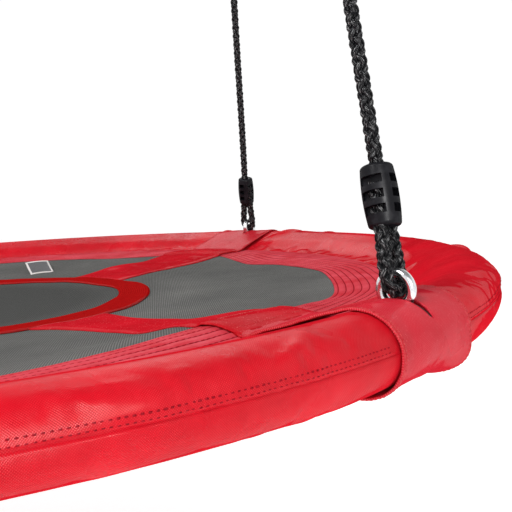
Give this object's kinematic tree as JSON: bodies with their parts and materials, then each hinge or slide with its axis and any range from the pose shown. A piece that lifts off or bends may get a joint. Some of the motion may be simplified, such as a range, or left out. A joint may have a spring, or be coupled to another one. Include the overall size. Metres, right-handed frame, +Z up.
{
  "type": "nest swing seat",
  "caption": "Round nest swing seat: padded steel rim in a cloth sleeve, taut mesh mat with radial straps, ring eyes and braided ropes with moulded ferrules.",
  "frame": {"origin": "on the ground under the middle of the seat", "axes": "+Z up; -Y is the front of the swing's travel; +X is the right, and one pair of ropes hangs at each end of X"},
  "size_m": [1.2, 1.2, 0.5351],
  "materials": {
    "red cloth": "coated woven polyester, satin",
    "orange red webbing": "stitched webbing",
    "grey mesh": "fine coated mesh, matt",
    "foam": "closed-cell foam",
    "galvanised steel": "galvanised",
    "bright zinc steel": "bright zinc plated",
    "black rope": "braided, slightly glossy fibres",
    "black plastic": "moulded, satin",
    "label": "blank woven tag"
  },
  "bodies": {
    "seat": {"joiner_front": "galvanised steel", "foam_front": "foam", "sleeve_upper_front": "red cloth", "sleeve_lower_front": "red cloth", "joiner_right": "galvanised steel", "foam_right": "foam", "sleeve_upper_right": "red cloth", "sleeve_lower_right": "red cloth", "joiner_back": "galvanised steel", "foam_back": "foam", "sleeve_upper_back": "red cloth", "sleeve_lower_back": "red cloth", "joiner_left": "galvanised steel", "foam_left": "foam", "sleeve_upper_left": "red cloth", "sleeve_lower_left": "red cloth", "hem": "red cloth", "mat": "grey mesh", "middle_band": "orange red webbing", "blank_tag": "label", "tube_back_right": "galvanised steel", "strap_back_right": "red cloth", "wrap_back_right": "red cloth", "eye_bolt_back_right": "bright zinc steel", "tube_back_left": "galvanised steel", "strap_back_left": "red cloth", "wrap_back_left": "red cloth", "eye_bolt_back_left": "bright zinc steel", "tube_front_left": "galvanised steel", "strap_front_left": "red cloth", "wrap_front_left": "red cloth", "eye_bolt_front_left": "bright zinc steel", "tube_front_right": "galvanised steel", "strap_front_right": "red cloth", "wrap_front_right": "red cloth", "eye_bolt_front_right": "bright zinc steel", "eye_washers": "bright zinc steel", "eye_nuts": "bright zinc steel"},
    "rope_set_back_right": {"rope_back_right": "black rope", "ferrule_lower_back_right": "black plastic", "ferrule_upper_back_right": "black plastic", "thimble_back_right": "galvanised steel"},
    "rope_set_back_left": {"rope_back_left": "black rope", "ferrule_lower_back_left": "black plastic", "ferrule_upper_back_left": "black plastic", "thimble_back_left": "galvanised steel"},
    "rope_set_front_left": {"rope_front_left": "black rope", "ferrule_lower_front_left": "black plastic", "ferrule_upper_front_left": "black plastic", "thimble_front_left": "galvanised steel"},
    "rope_set_front_right": {"rope_front_right": "black rope", "ferrule_lower_front_right": "black plastic", "ferrule_upper_front_right": "black plastic", "thimble_front_right": "galvanised steel"}
  },
  "joints": [
    {"name": "rope_swing_back_right", "type": "hinge", "parent": "seat", "child": "rope_set_back_right", "pos_m": [0.40411, 0.40411, 0.0637], "axis": [0.7071, -0.7071, 0], "range_deg": [-95, 70]},
    {"name": "rope_swing_back_left", "type": "hinge", "parent": "seat", "child": "rope_set_back_left", "pos_m": [-0.40411, 0.40411, 0.0637], "axis": [0.7071, 0.7071, 0], "range_deg": [-95, 70]},
    {"name": "rope_swing_front_left", "type": "hinge", "parent": "seat", "child": "rope_set_front_left", "pos_m": [-0.40411, -0.40411, 0.0637], "axis": [-0.7071, 0.7071, 0], "range_deg": [-95, 70]},
    {"name": "rope_swing_front_right", "type": "hinge", "parent": "seat", "child": "rope_set_front_right", "pos_m": [0.40411, -0.40411, 0.0637], "axis": [-0.7071, -0.7071, 0], "range_deg": [-95, 70]}
  ]
}
